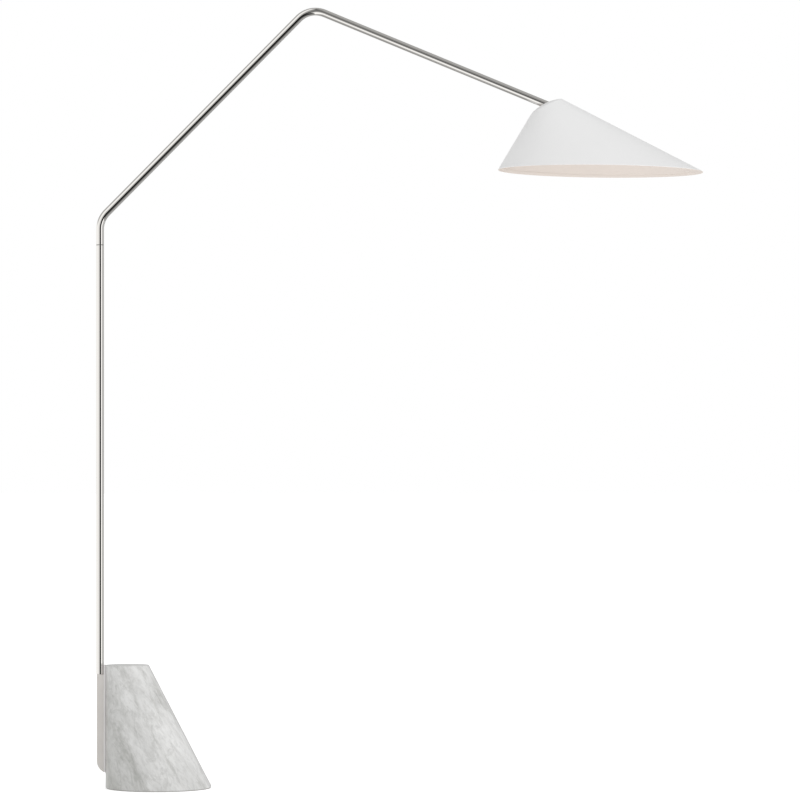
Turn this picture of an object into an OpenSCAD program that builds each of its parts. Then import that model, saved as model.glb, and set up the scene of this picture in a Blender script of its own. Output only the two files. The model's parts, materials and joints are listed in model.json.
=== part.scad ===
// Arc floor lamp: a slanted marble cone carries a bent tube arm with a wide conical shade.
// Millimetres, +Z up, +X from the pole towards the shade, origin at the centre of the foot.

/* [Base] */
// Diameter of the marble at the floor
base_d = 258; // [240:1:280]
// Diameter of the marble's top face
base_top_d = 105.6; // [90:0.2:120]
// Height of the marble's top above the floor
base_h = 300; // [280:1:330]
// Height of the straight band around the marble's foot
base_band_h = 2.4; // [2:0.2:12]
// Thickness of the pad under the marble
pad_t = 2.4; // [1.6:0.2:4]

/* [Bracket] */
// Width of the bracket and its plate, across the lamp
bracket_w = 28; // [27:0.5:32]
// How far the bracket's rear face stands out from the marble's straight side
bracket_out = 20.8; // [20.6:0.1:22]
// Height of the bracket's lower end above the floor
bracket_z = 36.9; // [32:0.1:38]
// Height of the bracket's top face, where the pole stands
bracket_top = 277.4; // [265:0.2:285]
// Radius of the bracket's lower rear corner
bracket_r = 29.3; // [26:0.1:30]
// Height of the cord inlet above the floor
inlet_z = 74; // [74:1:80]

/* [Tube] */
// Outer diameter of the pole and the arm
tube_d = 19; // [18.6:0.1:19.4]
// Wall of the pole and the arm
tube_wall = 1.5; // [1.4:0.1:1.6]
// Distance of the pole's axis behind the marble's straight side
pole_back = 13.9; // [13.4:0.1:14.4]
// Height of the swivel seam between the pole and the arm
seam_z = 1325.4; // [1200:0.2:1400]

/* [Arm] */
// Height of the arm's first corner above the seam, on the centreline
elbow_h = 62.2; // [60:0.2:80]
// Slope of the arm's rising stretch, in degrees
rise_a = 45.33; // [40:0.01:50]
// Level length of the rising stretch, from corner to corner
rise_run = 512.2; // [450:0.2:560]
// Slope of the arm's falling stretch, in degrees
drop_a = 22.37; // [20:0.01:25]
// Level length of the falling stretch, from the corner to the shade's pivot
drop_run = 599.7; // [540:0.2:640]
// Centreline radius of both bends
bend_r = 58; // [50:1:65]

/* [Shade] */
// Level distance of the cone's tip behind the pivot
tip_back = 24.7; // [23:0.1:26]
// Height of the cone's tip above the pivot
tip_up = 44.3; // [43:0.1:46]
// Half of the cone's angle, in degrees
cone_a = 46.67; // [45:0.01:48]
// Lean of the cone's axis from plumb, in degrees
cone_lean = 15.87; // [14:0.01:18]
// Depth of the rim plane below the pivot
rim_drop = 151.4; // [146:0.1:158]
// Fall of the rim plane towards the shade's far end, in degrees
rim_fall = 0.73; // [0:0.01:2]
// Thickness of the spun shade
shade_wall = 1.2; // [1:0.1:1.5]
// Radius of the domed top's sphere
dome_r = 110.6; // [105:0.2:116]
// Level distance of the dome's centre in front of the pivot
dome_fwd = 23.9; // [22:0.1:26]
// Depth of the dome's centre below the pivot
dome_down = 86.6; // [84:0.1:89]

/* [Lampholder and bulb] */
// Lean of the lampholder from plumb, in degrees
holder_lean = 30; // [24:0.5:34]
// Outer diameter of the lampholder
holder_d = 38; // [37:0.5:41]
// Diameter of the bulb's globe
bulb_d = 60; // [56:0.5:60]
// Length of the glass from the holder's mouth to its end
bulb_len = 78; // [74:0.5:80]

/* [Motion] */
// Swing of the arm to each side of straight ahead, in degrees
swing_a = 90; // [60:1:90]
// Tilt of the shade each way, in degrees
tilt_a = 15; // [10:1:15]

/* [Hidden] */

$fn = 96;
far = 900;              // larger than any piece that it cuts
past = 1;               // how far a cutting shape runs past the face it opens
slip = 0.05;            // clearance of a running fit or of a fixed fit, on the radius
play = 0.2;             // clearance of a screw in its hole, on the radius

// base and bracket
side_x = -base_d / 2;   // the marble's straight side
pole_x = side_x - pole_back;
rear_x = side_x - bracket_out;
seat_x = side_x + 2;    // bottom of the slot that takes the mounting plate
plate_t = 6.1;
plate_x = seat_x - plate_t;
edge = 1;               // chamfer around the marble's faces
slice_h = 0.2;          // thickness of the slices that the marble is stretched over
pad_in = 1.4;           // how far the pad stays inside the marble's edge
screw_r = 2.5;
screw_y = 9.5;          // each side of the bracket's middle
screw_zs = [105, 250];
screw_head_r = 4.25;
screw_head_h = 4.6;
screw_sink = 0.3;       // how far the screws' heads sit below the bracket's face
screw_grip = 18;        // length of each screw inside the marble
screw_key_r = 2.3;
screw_key_h = 3;
insert_r = 4;
insert_len = 22;
insert_drill = 20;      // depth of the inserts' threaded holes
cable_r = 3.5;          // wire way through the bracket
inlet_r = 5;            // hole for the cord bushing
bush_flange_t = 0.8;
bush_bore_r = 3.6;
bush_len = 5;           // with its flange

// tube and swivel
tube_r = tube_d / 2;
bore_r = tube_r - tube_wall;
plug_r = bore_r - slip;
nipple_r = 5;
nipple_bore = 3.2;
nipple_sink = 18;       // length of the nipple in the bracket, and in the pole's insert
insert_h = 22;
end_gap = 0.5;          // gap at the ends of threaded pieces
washer_t = 1.2;
washer_in = 0.4;        // how far the washer stays inside the tube's outer face
spigot_r = 6.5;
spigot_up = 34;
spigot_down = 45;
spigot_bore = 3;
guide_z = 20;           // height of the guide screw above the seam
guide_r = 1.7;
guide_key_r = 0.9;
groove_r = 4.8;         // bottom of the groove that the guide screw runs in
groove_a = swing_a + asin(guide_r / groove_r) + 1;
lead_r = 1.9;

// arm centreline
bend_lap = 1;           // length of each straight inside a bend
bend_step = 0.05;       // extra thickness of a bend's wall, inside and out
elbow_z = seam_z + elbow_h;
top_x = pole_x + rise_run;
top_z = elbow_z + rise_run * tan(rise_a);
pivot_x = top_x + drop_run;
pivot_z = top_z - drop_run * tan(drop_a);
turn1 = 90 - rise_a;
turn2 = rise_a + drop_a;
cut1 = bend_r * tan(turn1 / 2);     // corner to the end of the first bend
cut2 = bend_r * tan(turn2 / 2);
rise_len = rise_run / cos(rise_a) - cut1 - cut2;
drop_len = drop_run / cos(drop_a) - cut2;

// knuckle
ear_r = 8;
tongue_y = 6;
ear_in = 6.45;
ear_out = 9.4;
root_s = 8.6;           // solid root of the fork, measured back from the pivot
tube_end_s = 14;        // end of the arm tube, measured back from the pivot
plug_len = 20;
pivot_r = 2.5;
pivot_deep = 3.2;       // inner end of each pivot screw
pivot_head_r = 4.6;
pivot_head_h = 2.2;
pivot_key_r = 1.7;
pivot_key_h = 1.2;
foot_z = 10.5;          // foot of the tongue, measured down from the pivot
foot_pin_r = 9;
wire_r = lead_r + 0.7;  // wire way through the tongue
wire_spare_a = 3;       // how much wider than the tilt the wire way opens, in degrees

// head, measured down the lampholder's axis from the pivot
bridge_z = 18;
bridge_t = 2;
bridge_w = 20;
tab_in = 45;            // where the bridge's end tabs begin, each side of the middle
tab_t = 1.6;
tab_up = 7;             // height of the tabs' upper ends above the bridge
tab_h = 16;
cap_z = bridge_z + bridge_t;
cap_h = 18;
cap_wall = 2;
nut_h = 3;
nut_r = 8;
nipple_z = bridge_z - 5.5;
switch_z = cap_z + cap_wall + nut_h + 1;
switch_h = 11;
body_z = cap_z + cap_h;
body_in = 0.6;          // step from the cap's face to the body's face
body_h = 30;
floor_t = 4;
mouth_z = body_z + body_h;
socket_r = 14.3;
thread_t = 0.6;
thread_gap = 2;         // from the shell to the socket's floor and to its mouth
contact_r = 6;
contact_t = 1.2;
contact_tip_r = 3;
contact_h = 2;
bulb_cap_r = 13.2;
bulb_cap_h = 23;
bulb_tip_r = 4;
bulb_tip_h = 1.8;
glass_in = 2;           // length of the glass inside the bulb's cap
neck_r = 14;
neck_len = 8;
glass_t = 1;
knob_z = cap_z + 10;
knob_stem_r = 2.4;
knob_in = 9;            // inner end of the stem, from the lampholder's axis
knob_out = holder_d / 2 + 0.6;
knob_collar_r = 5;
knob_collar_h = 5;
key_r = 7.5;
key_t = 5.2;
key_h = 16;             // reach of the key beyond the collar's foot

// shade
slot_r = tube_r + 0.7;  // half of the slot's width
slot_up = 17.5;         // reach of the slot from the arm's axis, towards the dome's top
slot_down = 24.5;       // and towards the pole
slot_from = 60;         // the slot's cut, measured back from the pivot
slot_to = 12;
slot_steps = 12;

// placing -------------------------------------------------------------------------------------

// local +Z runs down the arm's falling stretch, and the origin is the shade's pivot
module at_arm_end() {
    translate([pivot_x, 0, pivot_z]) rotate([0, 90 + drop_a, 0]) children();
}

// local +Z runs down the lampholder's axis, and the origin is the shade's pivot
module at_head() {
    translate([pivot_x, 0, pivot_z]) rotate([0, 180 - holder_lean, 0]) children();
}

// local +Z runs down the cone's axis, and the origin is the cone's tip
module at_cone() {
    translate([pivot_x - tip_back, 0, pivot_z + tip_up]) rotate([0, 180 - cone_lean, 0]) children();
}

module ring(r_out, r_in, h) {
    difference() {
        cylinder(h = h, r = r_out);
        translate([0, 0, -past]) cylinder(h = h + 2 * past, r = r_in);
    }
}

// the arm's path: straight, bend, straight, bend, straight; each straight runs a little way into
// the bends, whose wall is a hair thicker, so that no two surfaces coincide
module arm_path(r_out, r_in, z_from, s_end) {
    rise_p = [pole_x + cut1 * cos(rise_a), elbow_z + cut1 * sin(rise_a)];
    drop_p = [top_x + cut2 * cos(drop_a), top_z - cut2 * sin(drop_a)];
    translate([pole_x, 0, z_from]) pipe(r_out, r_in, elbow_z - cut1 - z_from + bend_lap);
    bend(r_out, r_in, [pole_x + bend_r, elbow_z - cut1], 180 - turn1, turn1);
    translate([rise_p[0], 0, rise_p[1]]) rotate([0, 90 - rise_a, 0]) translate([0, 0, -bend_lap])
        pipe(r_out, r_in, rise_len + 2 * bend_lap);
    bend(r_out, r_in, [drop_p[0] - bend_r * sin(drop_a), drop_p[1] - bend_r * cos(drop_a)],
        90 - drop_a, turn2);
    translate([drop_p[0], 0, drop_p[1]]) rotate([0, 90 + drop_a, 0]) translate([0, 0, -bend_lap])
        pipe(r_out, r_in, drop_len - s_end + bend_lap);
}

// a tube, or a rod where r_in is 0
module pipe(r_out, r_in, h) {
    if (r_in > 0) {
        ring(r_out, r_in, h);
    } else {
        cylinder(h = h, r = r_out);
    }
}

module bend(r_out, r_in, centre, from_a, turn_a) {
    translate([centre[0], 0, centre[1]]) rotate([90, 0, 0]) rotate([0, 0, from_a])
        rotate_extrude(angle = turn_a) translate([bend_r, 0]) difference() {
            circle(r = r_out + bend_step);
            if (r_in > 0) circle(r = r_in - bend_step);
        }
}

// base ----------------------------------------------------------------------------------------

// one level slice of the marble, tangent to its straight side
module slice(z, r, h = slice_h) {
    translate([side_x + r, 0, z]) cylinder(h = h, r = r);
}

module base_pad() {
    color("#9a9894") cylinder(h = pad_t, r = base_d / 2 - pad_in);
}

module marble_base() {
    foot_r = base_d / 2;
    top_r = base_top_d / 2;
    color("#cfcdc6") difference() {
        hull() {
            translate([edge, 0, 0]) slice(pad_t, foot_r - edge);
            slice(pad_t + edge, foot_r, base_band_h - edge);
            slice(base_h - edge - slice_h, top_r);
            translate([edge, 0, 0]) slice(base_h - slice_h, top_r - edge);
        }
        translate([rear_x, -bracket_w / 2 - slip, bracket_z - slip])
            cube([seat_x - rear_x, bracket_w + 2 * slip, base_h]);
        screw_holes(insert_r + slip, seat_x - past, insert_len + 2 * past);
    }
}

// four level holes or shafts along +X, at the bracket's screws
module screw_holes(r, x_from, len) {
    for (z = screw_zs, y = [-screw_y, screw_y])
        translate([x_from, y, z]) rotate([0, 90, 0]) cylinder(h = len, r = r);
}

module marble_inserts() {
    color("#b9a05a") difference() {
        screw_holes(insert_r, seat_x, insert_len);
        screw_holes(screw_r + slip, seat_x - past, insert_drill + past);
    }
}

module mounting_plate() {
    color("#bdb8b2") difference() {
        translate([plate_x, -bracket_w / 2, bracket_z]) cube([plate_t, bracket_w, base_h - bracket_z]);
        bracket_corner();
        screw_holes(screw_r + play, plate_x - past, plate_t + 2 * past);
    }
}

module pole_bracket() {
    block_t = plate_x - rear_x - slip;
    head_seat = screw_sink + screw_head_h + slip;
    wire_in_r = cable_r - 0.6;
    color("#c4bfb9") difference() {
        translate([rear_x, -bracket_w / 2, bracket_z])
            cube([block_t, bracket_w, bracket_top - bracket_z]);
        bracket_corner();
        screw_holes(screw_r + play, rear_x - past, block_t + 2 * past);
        screw_holes(screw_head_r + play, rear_x - past, head_seat + past);
        translate([pole_x, 0, inlet_z]) cylinder(h = far, r = cable_r);
        translate([pole_x, 0, bracket_top - nipple_sink]) cylinder(h = far, r = nipple_r + slip);
        inlet_hole(wire_in_r, pole_x - rear_x);
        inlet_hole(inlet_r + slip, bush_len - bush_flange_t + end_gap);
    }
}

// a level hole from the bracket's rear face, at the cord inlet
module inlet_hole(r, deep) {
    translate([rear_x - past, 0, inlet_z]) rotate([0, 90, 0]) cylinder(h = deep + past, r = r);
}

// what is cut away to round the lower rear corner; its curve runs on into the mounting plate
module bracket_corner() {
    w = bracket_w + 2 * past;
    side = bracket_r + past;
    translate([rear_x + bracket_r, w / 2, bracket_z + bracket_r]) rotate([90, 0, 0]) difference() {
        translate([-side, -side, 0]) cube([side, side, w]);
        translate([0, 0, -past]) cylinder(h = w + 2 * past, r = bracket_r);
    }
}

module bracket_screws() {
    head_x = rear_x + screw_sink;
    color("#d8d4cf") difference() {
        union() {
            screw_holes(screw_head_r, head_x, screw_head_h);
            screw_holes(screw_r, head_x + past, seat_x + screw_grip - head_x - past);
        }
        for (z = screw_zs, y = [-screw_y, screw_y])
            translate([head_x - past, y, z]) rotate([0, 90, 0])
                cylinder(h = screw_key_h + past, r = screw_key_r, $fn = 6);
    }
}

module cord_bushing() {
    color("#26262a") translate([rear_x - bush_flange_t, 0, inlet_z]) rotate([0, 90, 0]) difference() {
        union() {
            cylinder(h = bush_flange_t - 0.02, r = inlet_r + 1);
            cylinder(h = bush_len, r = inlet_r);
        }
        translate([0, 0, -past]) cylinder(h = bush_len + past, r = bush_bore_r);
    }
}

// pole ----------------------------------------------------------------------------------------

module pole_nipple() {
    color("#b9a05a") translate([pole_x, 0, bracket_top - nipple_sink + end_gap])
        ring(nipple_r, nipple_bore, 2 * (nipple_sink - end_gap));
}

module pole_end_insert() {
    color("#b9a05a") translate([pole_x, 0, bracket_top + end_gap]) ring(plug_r, nipple_r + slip, insert_h);
}

module lower_pole() {
    color("#d9d6d2") translate([pole_x, 0, bracket_top + slip])
        ring(tube_r, bore_r, seam_z - washer_t / 2 - bracket_top - slip);
}

module swivel_spigot() {
    color("#b9a05a") translate([pole_x, 0, seam_z]) difference() {
        union() {
            translate([0, 0, -spigot_down]) cylinder(h = spigot_down - washer_t / 2, r = plug_r);
            translate([0, 0, -washer_t]) cylinder(h = spigot_up + washer_t, r = spigot_r);
        }
        translate([0, 0, -spigot_down - past])
            cylinder(h = spigot_down + spigot_up + 2 * past, r = spigot_bore);
        guide_groove();
    }
}

// the part-turn groove that lets the arm swing from stop to stop
module guide_groove() {
    h = 2 * (guide_r + 2 * slip);
    rotate([0, 0, 180 - groove_a]) translate([0, 0, guide_z - h / 2])
        rotate_extrude(angle = 2 * groove_a) translate([groove_r, 0]) square([spigot_r, h]);
}

module swivel_washer() {
    color("#33322f") translate([pole_x, 0, seam_z - washer_t / 2])
        ring(tube_r - washer_in, spigot_r + slip, washer_t - 2 * slip);
}

module pole_lead() {
    color("#e8e4dc") translate([pole_x, 0, inlet_z]) cylinder(h = seam_z - inlet_z, r = lead_r);
}

// arm -----------------------------------------------------------------------------------------

module arm_tube() {
    color("#d9d6d2") difference() {
        arm_path(tube_r, bore_r, seam_z + washer_t / 2, tube_end_s);
        guide_hole();
    }
}

// the hole for the guide screw, on the arm's rear side
module guide_hole() {
    translate([pole_x, 0, seam_z + guide_z]) rotate([0, -90, 0]) cylinder(h = tube_d, r = guide_r + slip);
}

module arm_sleeve() {
    foot_up = washer_t / 2 + play;
    color("#b9a05a") difference() {
        translate([pole_x, 0, seam_z + foot_up]) ring(plug_r, spigot_r + slip, spigot_up - 2);
        guide_hole();
    }
}

module guide_screw() {
    tip = groove_r + 0.3;
    head = tube_r - 0.15;
    key_h = 1.8;
    color("#8d8a86") translate([pole_x, 0, seam_z + guide_z]) rotate([0, -90, 0]) difference() {
        translate([0, 0, tip]) cylinder(h = head - tip, r = guide_r);
        translate([0, 0, head - key_h]) cylinder(h = key_h + past, r = guide_key_r, $fn = 6);
    }
}

module arm_end_fork() {
    color("#d9d6d2") at_arm_end() difference() {
        union() {
            translate([0, 0, -tube_end_s - plug_len]) cylinder(h = plug_len + past, r = plug_r);
            translate([0, 0, -tube_end_s + slip]) cylinder(h = tube_end_s - root_s - slip, r = ear_out);
            for (side = [-1, 1])
                translate([0, side * (ear_in + ear_out) / 2, 0]) ear(ear_out - ear_in);
        }
        translate([0, 0, -far / 2]) cylinder(h = far, r = spigot_bore);
        rotate([90, 0, 0]) cylinder(h = 4 * ear_out, r = pivot_r + slip, center = true);
    }
}

// one plate of the knuckle, across Y, from the fork's root to its round end
module ear(t) {
    flat = ear_r - 1;
    intersection() {
        union() {
            rotate([90, 0, 0]) cylinder(h = t, r = ear_r, center = true);
            translate([-flat, -t / 2, -tube_end_s + 1]) cube([2 * flat, t, tube_end_s - 1]);
        }
        translate([0, 0, -tube_end_s]) cylinder(h = 3 * tube_end_s, r = far);
    }
}

module friction_washers() {
    t = ear_in - tongue_y - 2 * slip;
    color("#4a4845") at_arm_end() for (side = [-1, 1])
        translate([0, side * (ear_in - slip - t / 2), 0]) rotate([90, 0, 0]) translate([0, 0, -t / 2])
            ring(ear_r - 0.6, pivot_r + 3 * slip, t);
}

module knuckle_screws() {
    head_y = ear_out + 0.02;
    head_top = head_y + pivot_head_h;
    color("#c9c5c0") at_arm_end() for (side = [-1, 1])
        rotate([side * 90, 0, 0]) difference() {
            union() {
                translate([0, 0, pivot_deep]) cylinder(h = head_y - pivot_deep + past, r = pivot_r);
                translate([0, 0, head_y]) cylinder(h = pivot_head_h, r = pivot_head_r);
            }
            translate([0, 0, head_top - pivot_key_h])
                cylinder(h = pivot_key_h + past, r = pivot_key_r, $fn = 6);
        }
}

module arm_lead() {
    foot_up = 0.4;
    end_s = 2.5;
    color("#e8e4dc") arm_path(lead_r, 0, seam_z + foot_up, end_s);
}

// head ----------------------------------------------------------------------------------------

module tilt_tongue() {
    flat = ear_r - 1;
    mouth_h = ear_r + 2;
    mouth_r = wire_r + mouth_h * tan(tilt_a + wire_spare_a);
    nipple_hole = bridge_z - nipple_z + end_gap;
    color("#d9d6d2") difference() {
        at_head() union() {
            rotate([90, 0, 0]) cylinder(h = 2 * tongue_y, r = ear_r, center = true);
            translate([-flat, -tongue_y, 0]) cube([2 * flat, 2 * tongue_y, foot_z + 1]);
            translate([0, 0, foot_z]) cylinder(h = bridge_z - foot_z, r = foot_pin_r);
        }
        at_head() translate([0, 0, bridge_z - nipple_hole])
            cylinder(h = nipple_hole + past, r = nipple_r + slip);
        at_head() cylinder(h = bridge_z, r = wire_r);
        at_arm_end() translate([0, 0, -mouth_h]) cylinder(h = mouth_h, r1 = mouth_r, r2 = wire_r);
        for (side = [-1, 1])
            translate([pivot_x, 0, pivot_z]) rotate([side * 90, 0, 0])
                translate([0, 0, pivot_deep - 2 * slip]) cylinder(h = tongue_y, r = pivot_r + slip);
    }
}

// a solid cone from its tip down, moved in by a wall of w
module cone_body(w) {
    reach = 620;
    at_cone() translate([0, 0, w / sin(cone_a)]) cylinder(h = reach, r1 = 0, r2 = reach * tan(cone_a));
}

// the strip across the top of the cone, with an end tab against each side wall
module shade_bridge() {
    gap = shade_wall + slip;
    color("#bdb8b2") difference() {
        union() {
            intersection() {
                at_head() translate([-bridge_w / 2, -far / 2, bridge_z]) cube([bridge_w, far, bridge_t]);
                cone_body(gap + tab_t / 2);
            }
            intersection() {
                difference() {
                    cone_body(gap);
                    cone_body(gap + tab_t);
                }
                at_head() for (side = [-1, 1])
                    translate([-bridge_w / 2, side * (tab_in + far / 4) - far / 4, bridge_z - tab_up])
                        cube([bridge_w, far / 2, tab_h]);
            }
        }
        at_head() cylinder(h = far, r = nipple_r + slip);
    }
}

module holder_nipple() {
    color("#b9a05a") at_head() translate([0, 0, nipple_z])
        ring(nipple_r, nipple_bore, cap_z + cap_wall + nut_h - nipple_z);
}

module nipple_locknut() {
    color("#b9a05a") at_head() translate([0, 0, cap_z + cap_wall + slip]) difference() {
        cylinder(h = nut_h - slip, r = nut_r, $fn = 6);
        translate([0, 0, -past]) cylinder(h = nut_h + 2 * past, r = nipple_r + slip);
    }
}

// the hole for the switch's stem, across the lampholder
module stem_hole() {
    translate([0, 0, knob_z]) rotate([90, 0, 0]) cylinder(h = holder_d, r = knob_stem_r + slip);
}

module lampholder_cap() {
    color("#d9d6d2") at_head() difference() {
        translate([0, 0, cap_z + slip]) cylinder(h = cap_h - slip, r = holder_d / 2);
        translate([0, 0, cap_z + cap_wall]) cylinder(h = cap_h, r = holder_d / 2 - cap_wall);
        cylinder(h = far, r = nipple_r + slip);
        stem_hole();
    }
}

module switch_body() {
    color("#3a3836") at_head() difference() {
        translate([0, 0, switch_z]) cylinder(h = switch_h, r = holder_d / 2 - cap_wall - slip);
        stem_hole();
    }
}

module lampholder_body() {
    color("#efece6") at_head() difference() {
        translate([0, 0, body_z + slip]) cylinder(h = body_h - slip, r = holder_d / 2 - body_in);
        translate([0, 0, body_z + floor_t]) cylinder(h = body_h, r = socket_r + slip);
    }
}

module thread_shell() {
    color("#b9a05a") at_head() translate([0, 0, body_z + floor_t + thread_gap])
        ring(socket_r, socket_r - thread_t, body_h - floor_t - 2 * thread_gap);
}

module centre_contact() {
    color("#b9a05a") at_head() translate([0, 0, body_z + floor_t + slip]) union() {
        cylinder(h = contact_t, r = contact_r);
        cylinder(h = contact_h, r = contact_tip_r);
    }
}

module bulb_cap() {
    cap_top = mouth_z + glass_in - bulb_cap_h;
    color("#c8c5c0") at_head() union() {
        translate([0, 0, cap_top]) cylinder(h = bulb_cap_h, r = bulb_cap_r);
        translate([0, 0, cap_top - bulb_tip_h]) cylinder(h = bulb_tip_h + past, r = bulb_tip_r);
    }
}

// half outline of the bulb, moved in by a wall of w: a straight neck, a tangent line, a round globe
function bulb_line(w) = let (
        r = bulb_d / 2 - w,
        neck = neck_r - w,
        mid = mouth_z + bulb_len - bulb_d / 2,
        neck_z = mouth_z + neck_len,
        reach = norm([neck, mid - neck_z]),
        from_a = acos(r / reach) - atan2(mid - neck_z, neck),
        steps = 16
    ) concat(
        [[0, mouth_z + glass_in + w], [neck, mouth_z + glass_in + w], [neck, neck_z]],
        [for (k = [0 : steps - 1])
            let (a = from_a + (90 - from_a) * k / steps) [r * cos(a), mid + r * sin(a)]],
        [[0, mid + r]]
    );

module bulb_glass() {
    color("#f3efe6") at_head() difference() {
        rotate_extrude() polygon(bulb_line(0));
        rotate_extrude() polygon(bulb_line(glass_t));
    }
}

// a spun cone that leans, with a shallow dome for its top and an oblique open mouth
module shade() {
    color("#f1efec") difference() {
        shade_solid(0);
        shade_solid(shade_wall);
        shade_slot();
    }
}

// the shade's outer form, moved in by a wall of w
module shade_solid(w) {
    difference() {
        cone_body(w);
        dome_cut(w);
        rim_cut(w > 0 ? past : 0);
    }
}

// what the domed top takes off the cone's tip
module dome_cut(w) {
    tip_r = 0.62 * dome_r;
    difference() {
        translate([pivot_x - tip_back, 0, pivot_z + tip_up]) sphere(r = tip_r);
        translate([pivot_x + dome_fwd, 0, pivot_z - dome_down]) sphere(r = dome_r - w);
    }
}

// everything further than lower below the rim plane
module rim_cut(lower) {
    translate([pivot_x, 0, pivot_z - rim_drop - lower]) rotate([0, rim_fall, 0])
        translate([-far, -far, -far]) cube([2 * far, 2 * far, far]);
}

// the slot in the domed top, long enough for the arm when the shade tilts; local +X points to the pole
module shade_slot() {
    ends = [slot_down - slot_r, slot_r - slot_up];
    at_arm_end() translate([0, 0, -slot_from]) linear_extrude(height = slot_from - slot_to) polygon([
        for (side = [0, 1], k = [0 : slot_steps])
            let (a = 180 * (side + k / slot_steps) - 90)
                [ends[side] + slot_r * cos(a), slot_r * sin(a)]
    ]);
}

module head_lead() {
    from_z = 2.5;
    color("#e8e4dc") at_head() translate([0, 0, from_z])
        cylinder(h = switch_z - from_z - 2 * slip, r = lead_r);
}

module switch_knob() {
    color("#2c2b2a") at_head() translate([0, 0, knob_z]) rotate([90, 0, 0]) union() {
        translate([0, 0, knob_in]) cylinder(h = knob_out - knob_in + past, r = knob_stem_r);
        translate([0, 0, knob_out]) cylinder(h = knob_collar_h, r = knob_collar_r);
        intersection() {
            translate([0, 0, knob_out]) cylinder(h = key_h, r = key_r);
            translate([-key_r, -key_t / 2, knob_out + knob_collar_h - past])
                cube([2 * key_r, key_t, key_h]);
        }
    }
}

base_pad();
marble_base();
marble_inserts();
mounting_plate();
pole_bracket();
bracket_screws();
cord_bushing();
pole_nipple();
pole_end_insert();
lower_pole();
swivel_spigot();
swivel_washer();
pole_lead();
arm_tube();
arm_sleeve();
guide_screw();
arm_end_fork();
friction_washers();
knuckle_screws();
arm_lead();
tilt_tongue();
shade_bridge();
holder_nipple();
nipple_locknut();
lampholder_cap();
switch_body();
lampholder_body();
thread_shell();
centre_contact();
bulb_cap();
bulb_glass();
shade();
head_lead();
switch_knob();
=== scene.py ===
"""Looks of the arc floor lamp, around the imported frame. Metres, +Z up, +X towards the shade."""
import json
import math

import bmesh
import bpy
from mathutils import Matrix, Vector


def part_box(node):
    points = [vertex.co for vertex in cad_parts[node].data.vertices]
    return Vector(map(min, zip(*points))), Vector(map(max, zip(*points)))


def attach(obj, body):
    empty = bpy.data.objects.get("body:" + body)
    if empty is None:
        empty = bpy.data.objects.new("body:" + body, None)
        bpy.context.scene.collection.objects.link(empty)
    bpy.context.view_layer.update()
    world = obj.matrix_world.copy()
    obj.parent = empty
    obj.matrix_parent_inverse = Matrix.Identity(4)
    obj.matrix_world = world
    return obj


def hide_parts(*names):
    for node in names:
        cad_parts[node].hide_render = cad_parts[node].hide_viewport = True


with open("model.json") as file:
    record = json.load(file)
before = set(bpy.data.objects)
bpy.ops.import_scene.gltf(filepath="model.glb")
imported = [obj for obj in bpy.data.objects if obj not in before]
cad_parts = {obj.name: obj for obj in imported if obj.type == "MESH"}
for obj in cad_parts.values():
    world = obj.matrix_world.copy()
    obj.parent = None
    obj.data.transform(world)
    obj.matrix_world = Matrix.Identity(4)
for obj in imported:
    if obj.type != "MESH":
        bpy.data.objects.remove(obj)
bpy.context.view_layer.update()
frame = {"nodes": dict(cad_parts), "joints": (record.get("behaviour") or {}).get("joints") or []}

MM = 0.001
X_AXIS = Vector((1, 0, 0))
Y_AXIS = Vector((0, 1, 0))
Z_AXIS = Vector((0, 0, 1))

# Driving dimensions that the frame doesn't state ------------------------------------------------

RISE = math.radians(45.33)          # slope of the arm's rising stretch
DROP = math.radians(22.37)          # slope of its falling stretch
BEND_R = 58 * MM                    # centreline radius of both bends
ELBOW_UP = 62.2 * MM                # first corner above the swivel's seam
TUBE_R = 9.5 * MM
TUBE_WALL = 1.5 * MM
TUBE_END = 14 * MM                  # the arm's tube stops this far before the pivot
BRACKET_R = 29.3 * MM               # the bracket's lower rear corner

CONE_HALF = math.radians(46.67)     # half angle of the shade's cone
CONE_LEAN = math.radians(15.87)     # its axis from plumb
TIP_FROM_PIVOT = Vector((-24.7, 0, 44.3)) * MM
RIM_DROP = 151.4 * MM               # rim plane under the pivot
RIM_FALL = math.radians(0.73)
DOME_R = 110.6 * MM
DOME_FROM_PIVOT = Vector((23.9, 0, -86.6)) * MM
SHADE_WALL = 1.2 * MM
HEM_WALL = 2.1 * MM
HEM_H = 8 * MM
HEM_STEP = 2.2 * MM                 # the hem's soft step down to the plain wall

SLOT_R = TUBE_R + 0.7 * MM          # half the width of the dome's slot
SLOT_UP = 17.5 * MM                 # its reach from the arm's axis towards the dome's top
SLOT_DOWN = 24.5 * MM               # and towards the pole

HOLDER_LEAN = math.radians(30)      # the lampholder's axis from plumb
HOLDER_R = 19 * MM
KEY_STEM_R = 2.4 * MM
THREAD_PITCH = 3.6 * MM             # of the bulb's cap

STONE_TOP_R = 52.8 * MM             # the marble's top face
STONE_BAND = 2.4 * MM               # straight band around the marble's foot
STONE_EASE = 0.5 * MM

SCREW_HEIGHTS = (105 * MM, 250 * MM)
SCREW_Y = 9.5 * MM                  # each side of the bracket's middle
SCREW_R = 2.5 * MM
SCREW_HEAD_R = 4.25 * MM
SCREW_HEAD_H = 4.6 * MM
INLET_R = 5 * MM                    # hole for the cord bushing

SMOOTH = 38                         # degrees: edges that turn less are shaded smooth
PAST = 5 * MM                       # how far a cutting shape runs past the face it opens

# The frame's own places -------------------------------------------------------------------------

joints = {j["name"]: j for j in frame["joints"]}
PIVOT = Vector(joints["shade_tilt"]["pos_m"])
SEAM = Vector(joints["arm_swivel"]["pos_m"])
KNOB_AXIS = Vector(joints["switch_turn"]["pos_m"])

# Directions -------------------------------------------------------------------------------------

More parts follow.
